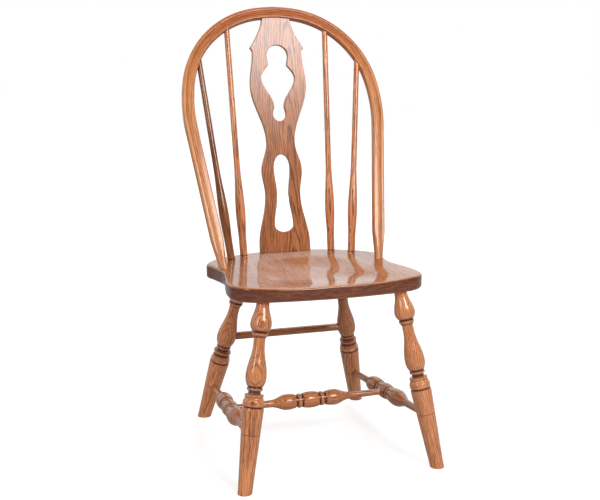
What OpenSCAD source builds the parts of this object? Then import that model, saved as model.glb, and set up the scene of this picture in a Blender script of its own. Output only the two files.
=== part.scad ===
// Fiddle back chair in solid oak: a bow-back dining chair with a saddled seat, turned legs and
// stretchers, four spindles and a pierced, fiddle-shaped splat. Every piece is its own solid, and
// each tenon is part of the piece that it is turned or cut on.
// Millimetres, +Z up, the front of the chair towards -Y. The origin lies on the floor, under the
// middle of the chair's bounding box.

/* [Seat] */
// Height of the flat rear deck above the floor
seat_h = 450; // [420:1:480]
// Thickness of the seat
seat_t = 35; // [32:1:42]
// Rim behind the back's circle, at the rear
seat_rear_rim = 23; // [18:1:34]
// Rim outside the back's circle, at the rear lobes
seat_lobe_rim = 25; // [22:1:40]
// Width of the waist
seat_waist_w = 431; // [416:1:446]
// Width of the front lobes
seat_front_w = 468; // [446:1:490]
// Distance from the back's centre to the front edge
seat_front_reach = 228; // [212:1:250]
// Radius of the rim's upper edge
seat_top_round = 6; // [3:0.5:9]
// Radius of the rim's lower edge
seat_low_round = 7; // [3:0.5:9]

/* [Saddle] */
// Depth of the saddle below the deck
dish_depth = 12; // [5:0.5:16]
// Depth of the saddle at the front edge
dish_lip = 4; // [2:0.5:8]
// Radius of the saddle's rear edge round the back's centre
dish_back_r = 148; // [140:1:175]
// Half width of the saddle at the front edge
dish_front_r = 205; // [180:1:216]
// Width of the slope from the saddle's edge to its bottom
dish_slope = 112; // [60:1:130]
// Height of the low ridge between the thighs
pommel_h = 1.5; // [0:0.5:5]
// Half width of that ridge
pommel_w = 70; // [40:1:100]

/* [Back] */
// Radius of the circle on the seat that carries the bow, spindles and splat
back_r = 209; // [203:1:213]
// Lean of the bow from the vertical
bow_lean = 20.9; // [14:0.1:24]
// Angle of the bow's feet on the back's circle, from the rear
bow_foot_angle = 78.8; // [75:0.1:82]
// Angle of the outer spindles' feet on that circle
outer_foot_angle = 51.4; // [48:0.1:56]
// Angle of the inner spindles' feet on that circle
inner_foot_angle = 35.2; // [32:0.1:38]

/* [Bow] */
// Width of the bow across its moulded face
bow_w = 30.5; // [27:0.5:32]
// Depth of the bow from front to back
bow_d = 20; // [18:0.5:24]
// Outer radius of the crown
crown_r = 341; // [300:1:400]
// Half sweep of the crown
crown_sweep = 10; // [6:0.5:14]
// Angle from the crown's middle to the end of the shoulder
shoulder_turn = 79; // [72:0.5:84]
// Outer radius of each haunch
haunch_r = 407; // [350:1:450]
// Angle of the straight legs from the bow's middle line
bow_leg_angle = 7.3; // [5:0.1:9]
// Length of the straight legs above the deck
bow_leg_l = 359; // [340:1:380]
// Radius of the round foot where it meets the deck
bow_foot_r = 10.8; // [8:0.1:12]
// Length over which the round foot swells to the full section
bow_taper_l = 80; // [60:1:160]
// Width of the bead along the outer edge
bead_w = 10; // [7:0.5:11]
// Depth of the groove beside the bead
bead_groove = 1.8; // [0.5:0.1:2.2]

/* [Spindles] */
// Radius at the deck
spindle_foot_r = 9.8; // [8:0.1:11]
// Largest radius, at the swelling
spindle_belly_r = 12.4; // [11:0.1:15]
// Height of the swelling above the deck
spindle_belly_h = 116; // [90:1:150]
// Radius of the slender upper stem
spindle_stem_r = 7.8; // [7.2:0.1:10]
// Height at which the stem begins
spindle_stem_h = 240; // [200:1:300]
// Radius at the bow
spindle_tip_r = 7.2; // [6:0.1:7.4]
// Radius of the tenon inside the bow
spindle_pin_r = 4.5; // [3:0.1:5]
// Angle on the shoulder at which the outer spindles meet the bow
outer_tip_angle = 58.8; // [54:0.1:62]
// Angle on the shoulder at which the inner spindles meet the bow
inner_tip_angle = 30.3; // [27:0.1:34]
// How far in front of the bow's middle the spindles and splat are aimed
back_aim = 2.5; // [0:0.1:3]

/* [Splat] */
// Thickness of the splat
splat_t = 12; // [9:0.5:13]
// Width at the deck
splat_foot_w = 139; // [130:1:150]
// Width of the lower waist
splat_low_waist_w = 95; // [88:1:104]
// Height of the lower waist
splat_low_waist_h = 155; // [145:1:165]
// Width of the lower swelling
splat_belly_w = 110; // [104:1:118]
// Rise from the lower waist to the lower swelling
splat_belly_rise = 63; // [52:1:66]
// Width of the neck
splat_neck_w = 77; // [72:1:86]
// Rise from the lower swelling to the neck
splat_neck_rise = 76; // [70:1:84]
// Width of the upper swelling
splat_bulge_w = 152.5; // [146:0.5:164]
// Rise from the neck to the upper swelling
splat_bulge_rise = 151; // [144:1:160]
// Width of the notch below the ears
splat_notch_w = 134; // [126:1:140]
// Rise from the upper swelling to the notch
splat_notch_rise = 84; // [78:1:90]
// Width between the tips of the ears
splat_ear_w = 147; // [142:1:152]
// Rise from the notch to the ears' tips
splat_ear_rise = 12; // [9:0.5:15]
// Width at the bow
splat_top_w = 77; // [70:1:84]

/* [Splat openings] */
// Half width of the lower opening at its foot
low_cut_foot = 26.5; // [24:0.1:29]
// Height of the lower opening's foot
low_cut_foot_h = 74; // [66:1:78]
// Half width of the lower opening's neck
low_cut_neck = 16.5; // [14:0.1:18]
// Rise from the lower opening's foot to its neck
low_cut_neck_rise = 80; // [74:1:88]
// Half width of the lower opening's head
low_cut_head = 22.6; // [20:0.1:25]
// Rise from the lower opening's neck to its head
low_cut_head_rise = 72; // [66:1:78]
// Rise from the lower opening's head to its top
low_cut_crown_rise = 35; // [30:1:42]
// Radius of the upper opening's round foot
high_cut_foot = 18; // [17:0.1:20]
// Rise from the splat's neck to the middle of that round foot
high_cut_foot_rise = 73; // [70:1:77]
// Half width of the upper opening's neck
high_cut_neck = 14.2; // [12:0.1:15]
// Rise from the upper opening's foot to its neck
high_cut_neck_rise = 21; // [17:1:24]
// Half width of the upper opening's arms
high_cut_arm = 46.2; // [42:0.1:50]
// Rise from the upper opening's neck to its arms
high_cut_arm_rise = 75; // [70:1:80]
// Half width of the upper opening's throat
high_cut_throat = 25.8; // [22:0.1:27]
// Rise from the upper opening's arms to its throat
high_cut_throat_rise = 32; // [28:1:36]
// Radius of the upper opening's round head
high_cut_head = 29; // [27:0.1:30]
// Rise from the upper opening's throat to the middle of its round head
high_cut_head_rise = 25; // [22:1:28]

/* [Leg places] */
// Front legs' distance in from the front lobes' sides, under the seat
front_leg_inset_x = 68; // [55:1:75]
// Front legs' distance back from the front edge, under the seat
front_leg_inset_y = 40; // [34:1:50]
// Front feet's distance outside their sockets
front_splay_x = 68; // [40:1:90]
// Front feet's distance in front of their sockets
front_splay_y = 76; // [40:1:90]
// Rear legs' distance from the middle line, under the seat
rear_leg_x = 129; // [115:1:135]
// Rear legs' distance in from the back's circle, measured to the rear
rear_leg_inset_y = 74; // [72:1:95]
// Rear feet's distance outside their sockets
rear_splay_x = 92.5; // [60:1:110]
// Rear feet's distance behind their sockets
rear_splay_y = 109; // [60:1:120]

/* [Leg turning] */
// Radius of the neck and tenon at the seat
leg_top_r = 14.8; // [13:0.1:16]
// Largest radius of the urn under the seat
urn_r = 24.2; // [22:0.1:27]
// Radius of the slender neck between urn and vase
leg_neck_r = 13.1; // [12:0.1:15]
// Largest radius of the vase
vase_r = 23.6; // [22:0.1:27]
// Radius of the rings
ring_r = 18.2; // [17.5:0.1:20]
// Radius of the flanges below the vase
flange_r = 21.6; // [20:0.1:23]
// Largest radius of the ball below the flange
ball_r = 24.3; // [23:0.1:27]
// Radius where the long taper begins
taper_r = 24.6; // [23:0.1:27]
// Radius of the foot
foot_r = 16.4; // [13:0.1:18]
// How much stouter the rear legs are turned below the neck
rear_stout = 1.4; // [0:0.1:2.5]

/* [Turning places] */
// Front legs: the urn's widest place, from the seat's underside
front_urn_s = 52; // [48:1:56]
// Front legs: the groove under the urn
front_ring_s = 69; // [66:1:76]
// Front legs: the vase's widest place
front_vase_s = 168; // [160:1:174]
// Front legs: the groove under the vase
front_collar_s = 191.5; // [189:0.5:198]
// Front legs: the dark groove under the ball
front_groove_s = 236; // [232:1:241]
// Front legs: where the side stretchers enter, just under the scribed line
front_mark_s = 301; // [290:1:310]
// Rear legs: the urn's widest place, from the seat's underside
rear_urn_s = 60; // [56:1:64]
// Rear legs: the groove under the urn
rear_ring_s = 84; // [81:1:88]
// Rear legs: the vase's widest place, where the rear stretcher enters
rear_vase_s = 190; // [184:1:194]
// Rear legs: the groove under the vase
rear_collar_s = 215; // [212:1:222]
// Rear legs: the dark groove under the ball
rear_groove_s = 263; // [260:1:270]
// Rear legs: where the side stretchers enter, just under the scribed line
rear_mark_s = 341; // [330:1:350]

/* [Stretchers] */
// Largest radius of the stretchers' middle barrels
barrel_r = 20.4; // [18:0.1:22]
// Half length of the barrels
barrel_half = 20.5; // [18:0.5:24]
// Radius of the rings beside the barrels
bobbin_ring_r = 18; // [17:0.1:19]
// Largest radius of the side stretchers' bulbs
side_bulb_r = 21.2; // [18:0.1:23]
// Largest radius of the centre stretcher's bulbs
centre_bulb_r = 19.8; // [18:0.1:22]
// Length of the side stretchers' bulbs
side_bulb_l = 87; // [60:1:95]
// Length of the centre stretcher's bulbs
centre_bulb_l = 63; // [50:1:80]
// Radius of the necks beside the bulbs
bobbin_neck_r = 9.2; // [8:0.1:11]
// Radius of the stretchers' ends and tenons
stretcher_end_r = 8; // [7:0.1:9]
// Radius of the plain rear stretcher
rear_stretcher_r = 10; // [8:0.1:11]
// Place of the barrels on the side stretchers, as a share from the front legs
barrel_share = 0.495; // [0.45:0.005:0.55]

/* [Joints] */
// Clearance round every tenon
fit_gap = 0.1; // [0.05:0.01:0.3]
// Clearance at the bottom of every blind hole
end_gap = 0.5; // [0.3:0.1:1.5]
// Length of the leg tenons in the seat
leg_tenon_l = 22; // [16:1:22]
// Length of the bow's and spindles' tenons in the seat
back_tenon_l = 22; // [14:1:24]
// Length of the splat's tongues
splat_tongue_l = 11; // [8:0.5:12]
// Length of the stretchers' tenons in the legs
stretcher_tenon_l = 17; // [12:1:18]
// Length of the centre stretcher's tenons in the barrels
barrel_tenon_l = 13; // [10:1:14]

/* [Hidden] */
oak = [0.72, 0.46, 0.27];
oak_light = [0.80, 0.54, 0.33];
oak_dark = [0.62, 0.38, 0.22];
$fn = 64;
right = 1;
left = -1;
underside = seat_h - seat_t;

// Numbers of steps along curves
curve_steps = 10;
seat_steps = 5;
round_steps = 3;

// Roundings, grooves and rings
back_round = 4.5;
edge_round = 3;
groove_w = 1.6;
ring_w = 7.8;
step_w = 4;
collar_w = 6;
flange_w = 5.5;
cove_w = 8.5;
cove_r = 15.2;
deep_cove_r = 13.8;
mark_depth = 0.7;
foot_pad = 8;
splat_foot_rise = 20;
splat_shank = 7;
low_cut_foot_drop = 19;
low_cut_shank = 8;
mark_lift = 3.5;

// Heights of the splat's stations above the deck, each worked out from the one below it
splat_belly_h = splat_low_waist_h + splat_belly_rise;
splat_neck_h = splat_belly_h + splat_neck_rise;
splat_bulge_h = splat_neck_h + splat_bulge_rise;
splat_notch_h = splat_bulge_h + splat_notch_rise;
splat_ear_h = splat_notch_h + splat_ear_rise;
low_cut_neck_h = low_cut_foot_h + low_cut_neck_rise;
low_cut_head_h = low_cut_neck_h + low_cut_head_rise;
high_cut_foot_h = splat_neck_h + high_cut_foot_rise;
high_cut_neck_h = high_cut_foot_h + high_cut_neck_rise;
high_cut_arm_h = high_cut_neck_h + high_cut_arm_rise;
high_cut_throat_h = high_cut_arm_h + high_cut_throat_rise;
high_cut_head_h = high_cut_throat_h + high_cut_head_rise;

// Plane curves as lists of points

// From (u0, v0) to (u1, v1), leaving and arriving along u
function sway(u0, v0, u1, v1, n = curve_steps) =
    [for (i = [0:n]) [u0 + (u1 - u0) * i / n, v0 + (v1 - v0) * (1 - cos(180 * i / n)) / 2]];
// From (u0, v0) to (u1, v1), leaving along u and falling away ever faster
function fall(u0, v0, u1, v1, n = curve_steps, power = 2) =
    [for (i = [0:n]) [u0 + (u1 - u0) * i / n, v0 + (v1 - v0) * pow(i / n, power)]];
// A half round between u0 and u1 that stands from v0 to v1
function bead(u0, u1, v0, v1, n = 6) =
    [for (i = [0:n]) [(u0 + u1) / 2 - (u1 - u0) / 2 * cos(180 * i / n), v0 + (v1 - v0) * sin(180 * i / n)]];
// A quarter of an ellipse from (u0, v0), where it runs along u, to (u1, v1), where it runs along v
function quarter(u0, v0, u1, v1, n = curve_steps) =
    [for (i = [0:n]) [u0 + (u1 - u0) * sin(90 * i / n), v1 + (v0 - v1) * cos(90 * i / n)]];
function backwards(points) = [for (i = [len(points) - 1:-1:0]) points[i]];
function swapped(points) = [for (p = points) [p[1], p[0]]];
function negated(points) = [for (p = points) [-p[0], p[1]]];
// The mirror image of a fall: it rises to (u1, v1) and arrives there along u
function rise(u0, v0, u1, v1, n = curve_steps, power = 2) = backwards(fall(u1, v1, u0, v0, n, power));
// A half outline [across, up] and its mirror image, as one closed outline
function both_sides(half) = concat(half, [for (p = backwards(half)) if (p[0] > 0.001) [-p[0], p[1]]]);
// Smooth closed curve through the given points
function knot(p, i) = p[(i + len(p)) % len(p)];
function through(a, b, c, d, t) =
    (2 * b + (c - a) * t + (2 * a - 5 * b + 4 * c - d) * t * t + (3 * b - a - 3 * c + d) * t * t * t) / 2;
function closed_curve(p, n) =
    [for (i = [0:len(p) - 1]) for (j = [0:n - 1])
        through(knot(p, i - 1), knot(p, i), knot(p, i + 1), knot(p, i + 2), j / n)];

// Space

function unit(v) = v / norm(v);
function ease(t) = t <= 0 ? 0 : t >= 1 ? 1 : t * t * (3 - 2 * t);
function beyond(a, b) = 2 * a - b;
// A child built up the +Z axis is set to start at a and point to b
module along(a, b) {
    v = b - a;
    translate(a) rotate([0, acos(v[2] / norm(v)), atan2(v[1], v[0])]) children();
}
// The start of a hole's round wall is turned away from the edges that it cuts
socket_turn = 40;
// A blind hole of the given depth that enters at a and runs towards b, open for lead outside a
module socket(a, b, r, depth, lead) {
    along(a - unit(b - a) * lead, b) rotate([0, 0, socket_turn])
        cylinder(r = r + fit_gap, h = lead + depth + end_gap);
}

// Places. They are measured from the centre of the back's circle, and frame_y moves the whole
// chair so that the origin lies under the middle of its box.

function on_back_circle(angle, side) = [side * back_r * sin(angle), back_r * cos(angle), seat_h];

// The bow's outline in its own plane: across, and up along the lean from the deck. Each arc's
// centre follows from the straight leg upwards, and the shoulder's radius closes the chain.
haunch_turn = 90 + bow_leg_angle;
function direction(turn) = [sin(turn), cos(turn)];
bow_foot = on_back_circle(bow_foot_angle, right);
bow_y = bow_foot[1];
leg_end = [bow_foot[0], 0] + bow_w / 2 * direction(haunch_turn) + bow_leg_l * direction(bow_leg_angle);
haunch_c = leg_end - haunch_r * direction(haunch_turn);
shoulder_r = (haunch_c[0] + haunch_r * sin(shoulder_turn) - crown_r * sin(crown_sweep))
    / (sin(shoulder_turn) - sin(crown_sweep));
shoulder_c = haunch_c + (haunch_r - shoulder_r) * direction(shoulder_turn);
crown_c = shoulder_c - (crown_r - shoulder_r) * direction(crown_sweep);
apex = crown_c[1] + crown_r;
function bow_place(p, depth) =
    [p[0],
     bow_y + p[1] * sin(bow_lean) + depth * cos(bow_lean),
     seat_h + p[1] * cos(bow_lean) - depth * sin(bow_lean)];
module in_bow_plane() { translate([0, bow_y, seat_h]) rotate([-bow_lean, 0, 0]) children(); }
// Where a spindle ends in a shoulder of the bow
function shoulder_point(turn, side) =
    let (p = shoulder_c + (shoulder_r - bow_w / 2) * direction(turn))
    bow_place([side * p[0], p[1]], -back_aim);

// Legs: their socket points under the seat and their feet on the floor
front_y = -seat_front_reach;
function front_top(side) =
    [side * (seat_front_w / 2 - front_leg_inset_x), front_y + front_leg_inset_y, underside];
function front_foot(side) = front_top(side) + [side * front_splay_x, -front_splay_y, -underside];
function rear_top(side) = [side * rear_leg_x, back_r - rear_leg_inset_y, underside];
function rear_foot(side) = rear_top(side) + [side * rear_splay_x, rear_splay_y, -underside];
front_leg_l = norm(front_foot(right) - front_top(right));
rear_leg_l = norm(rear_foot(right) - rear_top(right));
function down_leg(top, foot, s) = top + unit(foot - top) * s;
function front_mark(side) = down_leg(front_top(side), front_foot(side), front_mark_s);
function rear_mark(side) = down_leg(rear_top(side), rear_foot(side), rear_mark_s);
function rear_belly(side) = down_leg(rear_top(side), rear_foot(side), rear_vase_s);
function barrel_point(side) = front_mark(side) * (1 - barrel_share) + rear_mark(side) * barrel_share;

// The chair's box: from the front feet to the crown's back
foot_run = front_splay_y / underside;
box_front = front_foot(right)[1] - foot_r * sqrt(1 + foot_run * foot_run);
box_back = bow_y + back_round
    + (apex - back_round) * sin(bow_lean) + (bow_d / 2 - back_round) * cos(bow_lean);
frame_y = -(box_front + box_back) / 2;
module in_frame() { translate([0, frame_y, 0]) children(); }

// Seat

lobe_x = back_r + seat_lobe_rim;
rear_y = back_r + seat_rear_rim;
waist_x = seat_waist_w / 2;
front_x = seat_front_w / 2;
// Half outline from the rear to the front
seat_half = [[0.36 * lobe_x, 0.955 * rear_y],
             [0.66 * lobe_x, 0.83 * rear_y],
             [0.893 * lobe_x, 0.655 * rear_y],
             [lobe_x, 0.45 * rear_y],
             [(lobe_x + waist_x) / 2 + 1, 0.26 * rear_y],
             [waist_x, -0.01 * rear_y],
             [(waist_x + front_x) / 2 - 1, 0.25 * front_y],
             [front_x, 0.52 * front_y],
             [0.98 * front_x, 0.746 * front_y],
             [0.816 * front_x, 0.904 * front_y],
             [0.457 * front_x, 0.974 * front_y]];
seat_line = closed_curve(
    concat([[0, rear_y]], seat_half, [[0, front_y]], backwards(negated(seat_half))), seat_steps);
seat_n = len(seat_line);
// Outward direction of the outline at point i
function seat_normal(i) =
    let (v = seat_line[(i + 1) % seat_n] - seat_line[(i + seat_n - 1) % seat_n]) unit([-v[1], v[0]]);
function seat_inset(d) = [for (i = [0:seat_n - 1]) seat_line[i] - d * seat_normal(i)];
function saddle_reach(p) = p[1] > 0 ? norm(p) : abs(p[0]);
function saddle_edge(p) = dish_back_r + (dish_front_r - dish_back_r) * ease(p[1] / front_y);
function pommel(p) = pommel_h * ease(1 - abs(p[0]) / pommel_w) * ease(p[1] / front_y);
function dish_floor(p) = dish_depth + (dish_lip - dish_depth) * ease((p[1] / front_y - 0.4) / 0.6);
function dish(p) = dish_floor(p) * ease((saddle_edge(p) - saddle_reach(p)) / dish_slope);
function deck(p) = seat_h - max(0, dish(p) - pommel(p));
// Rings of the seat's skin, from the middle of the underside round the rim to the middle of the top
low_rings = [for (k = [0:round_steps]) let (a = 90 * k / round_steps)
    [for (p = seat_inset(seat_low_round * (1 - sin(a))))
        [p[0], p[1], underside + seat_low_round * (1 - cos(a))]]];
top_rings = [for (k = [0:round_steps]) let (a = 90 * k / round_steps)
    [for (p = seat_inset(seat_top_round * (1 - cos(a))))
        [p[0], p[1], deck(p) - seat_top_round * (1 - sin(a))]]];
top_shares = [0.95, 0.88, 0.82, 0.73, 0.62, 0.52, 0.42, 0.32, 0.17];
inner_rings = [for (f = top_shares) [for (p = seat_inset(seat_top_round)) [f * p[0], f * p[1], deck(f * p)]]];
seat_rings = concat(low_rings, top_rings, inner_rings);
ring_count = len(seat_rings);
low_middle = ring_count * seat_n;
top_middle = low_middle + 1;
seat_points = concat([for (r = seat_rings) each r], [[0, front_y / 10, underside], [0, 0, deck([0, 0])]]);
function ring_at(k, i) = k * seat_n + (i + seat_n) % seat_n;
seat_faces = concat(
    [for (k = [0:ring_count - 2]) for (i = [0:seat_n - 1])
        [ring_at(k, i), ring_at(k, i + 1), ring_at(k + 1, i)]],
    [for (k = [0:ring_count - 2]) for (i = [0:seat_n - 1])
        [ring_at(k, i + 1), ring_at(k + 1, i + 1), ring_at(k + 1, i)]],
    [for (i = [0:seat_n - 1]) [low_middle, ring_at(0, i + 1), ring_at(0, i)]],
    [for (i = [0:seat_n - 1]) [top_middle, ring_at(ring_count - 1, i), ring_at(ring_count - 1, i + 1)]]);

module seat_blank() { polyhedron(points = seat_points, faces = seat_faces, convexity = 6); }
module leg_hole(top, foot) { socket(top, beyond(top, foot), leg_top_r, leg_tenon_l, seat_t); }
module spindle_hole(foot, tip) { socket(foot, beyond(foot, tip), spindle_foot_r, back_tenon_l, seat_t); }
module seat_sockets() {
    for (side = [left, right]) {
        leg_hole(front_top(side), front_foot(side));
        leg_hole(rear_top(side), rear_foot(side));
        spindle_hole(outer_foot(side), outer_tip(side));
        spindle_hole(inner_foot(side), inner_tip(side));
        in_bow_plane() bow_foot_axis(side) translate([0, 0, -back_tenon_l - end_gap])
            cylinder(r = bow_foot_r + fit_gap, h = back_tenon_l + end_gap + seat_t);
    }
    in_splat_plane() tongue(splat_foot_w, -splat_tongue_l - end_gap, seat_t, fit_gap);
}
// The boards are equally wide, and the two outer ones keep all of the rim
board_count = 5;
board_w = 2 * lobe_x / board_count;
module seat_board(number) {
    from = number == 1 ? -lobe_x - seat_t : -lobe_x + (number - 1) * board_w;
    to = number == board_count ? lobe_x + seat_t : -lobe_x + number * board_w;
    color(number % 2 == 0 ? oak_light : oak) in_frame() difference() {
        intersection() {
            seat_blank();
            translate([from, front_y - seat_t, underside - seat_t])
                cube([to - from, rear_y - front_y + 2 * seat_t, 3 * seat_t]);
        }
        seat_sockets();
    }
}

// Bow

function round_corner(c, r, from) =
    [for (k = [0:round_steps + 1]) let (a = from + 90 * k / (round_steps + 1)) c + r * [cos(a), sin(a)]];
// The moulded section as [outwards, forwards] from the bow's middle line: a bead along the outer
// edge, a groove, and a broad, slightly crowned band
half_w = bow_w / 2;
half_d = bow_d / 2;
crest = half_w - bead_w / 2;
groove_at = half_w - bead_w;
bow_section = concat(
    round_corner([half_w - back_round, -half_d + back_round], back_round, -90),
    backwards(quarter(crest, half_d, half_w, half_d - bead_w / 2, 5)),
    quarter(crest - 0.5, half_d, groove_at + 0.8, half_d - bead_groove / 2, 3),
    [[groove_at - 0.6, half_d - bead_groove], [groove_at - 1.4, half_d - bead_groove]],
    [[groove_at - 3, half_d - 0.5]],
    [[(groove_at - half_w) / 2, half_d]],
    round_corner([-half_w + edge_round, half_d - 0.5 - edge_round], edge_round, 90),
    round_corner([-half_w + back_round, -half_d + back_round], back_round, 180),
    [for (k = [-1:1]) [(half_w - back_round) * k / 2, -half_d]]);
corner_r = norm([half_w, half_d]);
// The section is trimmed to a circle in the tenon and at the foot, and opens out up the straight leg
function trim_r(h) = bow_foot_r + (corner_r - bow_foot_r) * max(0, h - bow_foot_r) / bow_taper_l;
function trimmed(p, r) = p * min(1, r / norm(p));
// A section set at height h of the straight leg, or at a turn of an arc, as points in space
function section_at(middle, out, r) =
    [for (p = bow_section) let (q = trimmed(p, r))
        [middle[0] + q[0] * out[0], -q[1], middle[1] + q[0] * out[1]]];
function leg_section(h) =
    section_at([bow_foot[0], 0] + h * direction(bow_leg_angle), direction(haunch_turn), trim_r(h));
function arc_section(centre, r, turn) =
    section_at(centre + (r - bow_w / 2) * direction(turn), direction(turn), corner_r);
// Sections from the crown's middle down to the foot
function arc_sections(centre, r, from, to, n) =
    [for (i = [0:n - 1]) arc_section(centre, r, from + (to - from) * i / n)];
leg_heights = [for (i = [8:-1:1]) bow_foot_r + bow_taper_l * i / 8];
half_sections = concat(
    arc_sections(crown_c, crown_r, 0, crown_sweep, 2),
    arc_sections(shoulder_c, shoulder_r, crown_sweep, shoulder_turn, 15),
    arc_sections(haunch_c, haunch_r, shoulder_turn, haunch_turn, 5),
    [leg_section(bow_leg_l)],
    [for (h = leg_heights) leg_section(h)],
    [leg_section(bow_foot_r), leg_section(-back_tenon_l)]);
all_sections = concat(
    [for (k = [len(half_sections) - 1:-1:1]) [for (p = half_sections[k]) [-p[0], p[1], p[2]]]],
    half_sections);
section_n = len(bow_section);
section_count = len(all_sections);
foot_middle = [bow_foot[0], 0] - back_tenon_l * direction(bow_leg_angle);
left_middle = section_count * section_n;
right_middle = left_middle + 1;
function corner_at(k, i) = k * section_n + (i + section_n) % section_n;
module bow_sweep() {
    polyhedron(
        points = concat(
            [for (r = all_sections) each r],
            [[-foot_middle[0], 0, foot_middle[1]], [foot_middle[0], 0, foot_middle[1]]]),
        faces = concat(
            [for (k = [0:section_count - 2]) for (i = [0:section_n - 1])
                [corner_at(k, i), corner_at(k + 1, i), corner_at(k, i + 1)]],
            [for (k = [0:section_count - 2]) for (i = [0:section_n - 1])
                [corner_at(k, i + 1), corner_at(k + 1, i), corner_at(k + 1, i + 1)]],
            [for (i = [0:section_n - 1]) [left_middle, corner_at(0, i), corner_at(0, i + 1)]],
            [for (i = [0:section_n - 1])
                [right_middle, corner_at(section_count - 1, i + 1), corner_at(section_count - 1, i)]]),
        convexity = 6);
}
// Children built up the +Z axis stand on the foot of the bow's straight leg
module bow_foot_axis(side) {
    translate([side * bow_foot[0], 0, 0]) rotate([0, side * bow_leg_angle, 0]) children();
}
module bow() {
    color(oak_light) in_frame() difference() {
        in_bow_plane() bow_sweep();
        for (side = [left, right]) {
            tip_socket(outer_foot(side), outer_tip(side));
            tip_socket(inner_foot(side), inner_tip(side));
        }
        in_splat_plane() tongue(splat_top_w, splat_top_s - seat_t, splat_end_s + end_gap, fit_gap);
    }
}

// Spindles

function outer_foot(side) = on_back_circle(outer_foot_angle, side);
function inner_foot(side) = on_back_circle(inner_foot_angle, side);
function outer_tip(side) = shoulder_point(outer_tip_angle, side);
function inner_tip(side) = shoulder_point(inner_tip_angle, side);
// The pin is the last part of the spindle, inside the bow
pin_l = 0.45 * bow_w;
function spindle_profile(length) = concat(
    [[0, -back_tenon_l], [spindle_foot_r, -back_tenon_l]],
    swapped(sway(spindle_belly_h / 3, spindle_foot_r, spindle_belly_h, spindle_belly_r)),
    swapped(sway(spindle_belly_h + 1, spindle_belly_r, spindle_stem_h, spindle_stem_r, 14)),
    [[spindle_tip_r, length - 2 * bow_w], [spindle_tip_r, length - pin_l]],
    [[spindle_pin_r, length - pin_l], [spindle_pin_r, length], [0, length]]);
module spindle(foot, tip) {
    color(oak) in_frame() along(foot, tip) rotate_extrude() polygon(spindle_profile(norm(tip - foot)));
}
// The stepped hole for a spindle's upper end
module tip_socket(foot, tip) {
    length = norm(tip - foot);
    along(foot, tip) {
        translate([0, 0, length - 4 * bow_w])
            cylinder(r = spindle_tip_r + fit_gap, h = 4 * bow_w - pin_l + end_gap);
        translate([0, 0, length - pin_l]) cylinder(r = spindle_pin_r + fit_gap, h = pin_l + end_gap);
    }
}

// Splat

splat_foot = [0, sqrt(back_r * back_r - splat_foot_w * splat_foot_w / 4), seat_h];
splat_head = bow_place([0, apex - bow_w / 2], -back_aim);
splat_l = norm(splat_head - splat_foot);
splat_lean = atan2(splat_head[1] - splat_foot[1], splat_head[2] - splat_foot[2]);
splat_top_s = splat_l - bow_w / 2;
splat_end_s = splat_top_s + splat_tongue_l;
module in_splat_plane() { translate(splat_foot) rotate([-splat_lean, 0, 0]) children(); }
// A flat tongue of the given width between two heights, grown by a gap
module tongue(width, from, to, gap = 0) {
    translate([-width / 2 - gap, -splat_t / 2 - gap, from])
        cube([width + 2 * gap, splat_t + 2 * gap, to - from]);
}
// Half outlines as [height, half width]
splat_edge = concat(
    [[-splat_tongue_l, 0], [-splat_tongue_l, splat_foot_w / 2]],
    sway(splat_foot_rise, splat_foot_w / 2, splat_low_waist_h, splat_low_waist_w / 2),
    sway(splat_low_waist_h + 1, splat_low_waist_w / 2, splat_belly_h, splat_belly_w / 2),
    sway(splat_belly_h + 1, splat_belly_w / 2, splat_neck_h, splat_neck_w / 2),
    sway(splat_neck_h + 1, splat_neck_w / 2, splat_bulge_h, splat_bulge_w / 2, 14),
    sway(splat_bulge_h + 1, splat_bulge_w / 2, splat_notch_h, splat_notch_w / 2),
    fall(splat_notch_h + 1, splat_notch_w / 2, splat_ear_h, splat_ear_w / 2, 4),
    rise(splat_ear_h + 1, splat_ear_w / 2 - 1, splat_top_s - splat_shank, splat_top_w / 2, curve_steps, 1.45),
    [[splat_end_s, splat_top_w / 2], [splat_end_s, 0]]);
low_cut = concat(
    backwards(quarter(low_cut_foot_h, low_cut_foot, low_cut_foot_h - low_cut_foot_drop, 0)),
    sway(low_cut_foot_h + 1, low_cut_foot, low_cut_neck_h - low_cut_shank, low_cut_neck + 1.2),
    sway(low_cut_neck_h, low_cut_neck, low_cut_head_h, low_cut_head),
    quarter(low_cut_head_h + 1, low_cut_head, low_cut_head_h + low_cut_crown_rise, 0, 14));
high_cut = concat(
    backwards(quarter(high_cut_foot_h, high_cut_foot, high_cut_foot_h - high_cut_foot, 0)),
    sway(high_cut_foot_h + 1, high_cut_foot, high_cut_neck_h, high_cut_neck),
    sway(high_cut_neck_h + 1, high_cut_neck, high_cut_arm_h, high_cut_arm),
    fall(high_cut_arm_h + 1, high_cut_arm, high_cut_throat_h, high_cut_throat, curve_steps, 1.6),
    sway(high_cut_throat_h + 1, high_cut_throat, high_cut_head_h, high_cut_head, 5),
    quarter(high_cut_head_h + 1, high_cut_head, high_cut_head_h + high_cut_head, 0));
module splat_board(half, t) {
    rotate([90, 0, 0]) linear_extrude(height = t, center = true) polygon(both_sides(swapped(half)));
}
module splat() {
    color(oak_light) in_frame() in_splat_plane() difference() {
        splat_board(splat_edge, splat_t);
        splat_board(low_cut, 2 * splat_t);
        splat_board(high_cut, 2 * splat_t);
    }
}

// Legs

// A cove and the flange below it, starting at s
function flanged_cove(s, cove, flange) = concat(
    [[s + groove_w / 2, cove + 0.7], [s + cove_w / 2, cove], [s + cove_w - groove_w / 2, cove + 0.7]],
    bead(s + cove_w, s + cove_w + flange_w, flange - 1.6, flange));
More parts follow.
